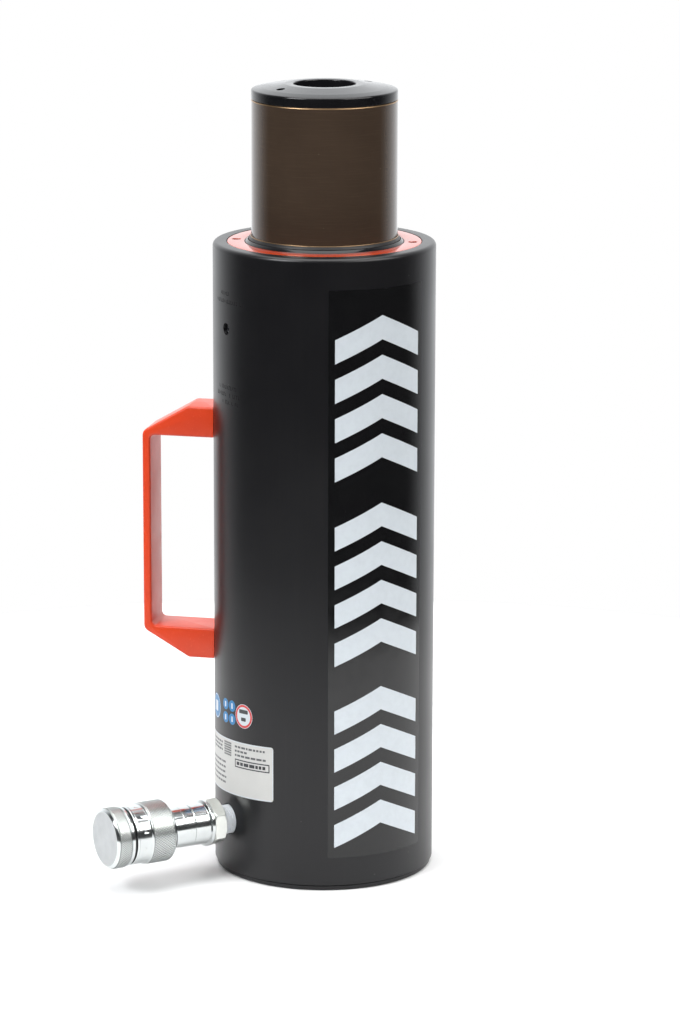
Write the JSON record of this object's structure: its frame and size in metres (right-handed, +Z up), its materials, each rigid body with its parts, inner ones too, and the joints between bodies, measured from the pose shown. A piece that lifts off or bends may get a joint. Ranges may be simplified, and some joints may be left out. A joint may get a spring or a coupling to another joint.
{
  "type": "hollow plunger hydraulic cylinder",
  "caption": "Single-stage hollow-plunger hydraulic cylinder with spring return, side carrying handle, screw-on quick coupler with dust cap and a drilled saddle.",
  "frame": {"origin": "on the floor under the middle of the bounding box; the plunger axis stands at x = 28 mm, y = 23 mm because the handle and the coupler stand out to one side", "axes": "+Z up along the plunger, the way it extends; the carrying handle points along -X; the coupler points along 222 degrees, measured from +X towards +Y"},
  "size_m": [0.1847, 0.1752, 0.4673],
  "materials": {
    "black_anodised_aluminium": "satin, hard anodised black",
    "bronze_anodised_aluminium": "semi-gloss, hard anodised bronze brown",
    "blackened_steel": "blackened, satin",
    "orange_coat": "orange, satin",
    "orange_anodised_aluminium": "orange anodised, satin",
    "zinc_plate": "bright zinc plate",
    "plain_steel": "machined",
    "bearing_bronze": "machined",
    "black_rubber": "matte",
    "white_sealing_tape": "matte",
    "grey_polymer": "matte",
    "black_label_film": "gloss",
    "silver_nameplate_foil": "satin"
  },
  "bodies": {
    "barrel_unit": {"barrel": "black_anodised_aluminium", "base_plate": "black_anodised_aluminium", "base_seal": "black_rubber", "tube_seal": "black_rubber", "guide_bush": "blackened_steel", "bush_bearing": "bearing_bronze", "wiper": "black_rubber", "stop_ring": "orange_anodised_aluminium", "breather_screw": "plain_steel", "centre_tube": "plain_steel", "spring_collar": "plain_steel", "spring_circlip": "blackened_steel", "return_spring": "plain_steel", "handle": "orange_coat", "handle_stud_upper": "plain_steel", "handle_stud_lower": "plain_steel", "handle_grub_screw_upper": "blackened_steel", "handle_grub_screw_lower": "blackened_steel", "label_film": "black_label_film", "nameplate": "silver_nameplate_foil", "pictogram_film": "black_label_film", "coupler_nipple": "zinc_plate", "thread_tape": "white_sealing_tape", "coupler_body": "zinc_plate", "poppet_guide": "plain_steel", "poppet_spring": "plain_steel", "sleeve_snap_ring": "plain_steel"},
    "seal_set": {"piston_seal": "black_rubber", "piston_backup_ring": "grey_polymer", "piston_wear_ring": "bearing_bronze", "bore_seal": "black_rubber", "bore_wear_ring": "bearing_bronze"},
    "plunger_unit": {"plunger": "bronze_anodised_aluminium", "saddle": "blackened_steel", "spring_seat": "plain_steel"},
    "poppet_unit": {"poppet": "plain_steel"},
    "sleeve_unit": {"lock_sleeve": "zinc_plate"},
    "cap_seal_unit": {"dust_cap_seal": "black_rubber"},
    "cap_unit": {"dust_cap": "zinc_plate"}
  },
  "joints": [
    {"name": "plunger_stroke", "type": "slide", "parent": "barrel_unit", "child": "seal_set", "axis": [0, 0, 1], "range_m": [-0.078, 0.122], "deforming": ["return_spring"]},
    {"name": "plunger_turn", "type": "hinge", "parent": "seal_set", "child": "plunger_unit", "pos_m": [0.028, 0.023, 0.4], "axis": [0, 0, 1], "continuous": true},
    {"name": "poppet_press", "type": "slide", "parent": "barrel_unit", "child": "poppet_unit", "axis": [0.7431, 0.6691, 0], "range_m": [0, 0.004], "stiffness_N_per_m": 800, "springref_m": -0.002, "deforming": ["poppet_spring"]},
    {"name": "sleeve_turn", "type": "hinge", "parent": "barrel_unit", "child": "sleeve_unit", "pos_m": [-0.06118, -0.0573, 0.034], "axis": [-0.7431, -0.6691, 0], "continuous": true},
    {"name": "cap_lift", "type": "slide", "parent": "sleeve_unit", "child": "cap_seal_unit", "axis": [-0.7431, -0.6691, 0], "range_m": [0, 0.008]},
    {"name": "cap_turn", "type": "hinge", "parent": "cap_seal_unit", "child": "cap_unit", "pos_m": [-0.07604, -0.07068, 0.034], "axis": [-0.7431, -0.6691, 0], "range_deg": [0, 1440]}
  ],
  "couplings": [
    {"joint": "cap_turn", "follows": "cap_lift", "rad_per_m": 3141.6}
  ]
}
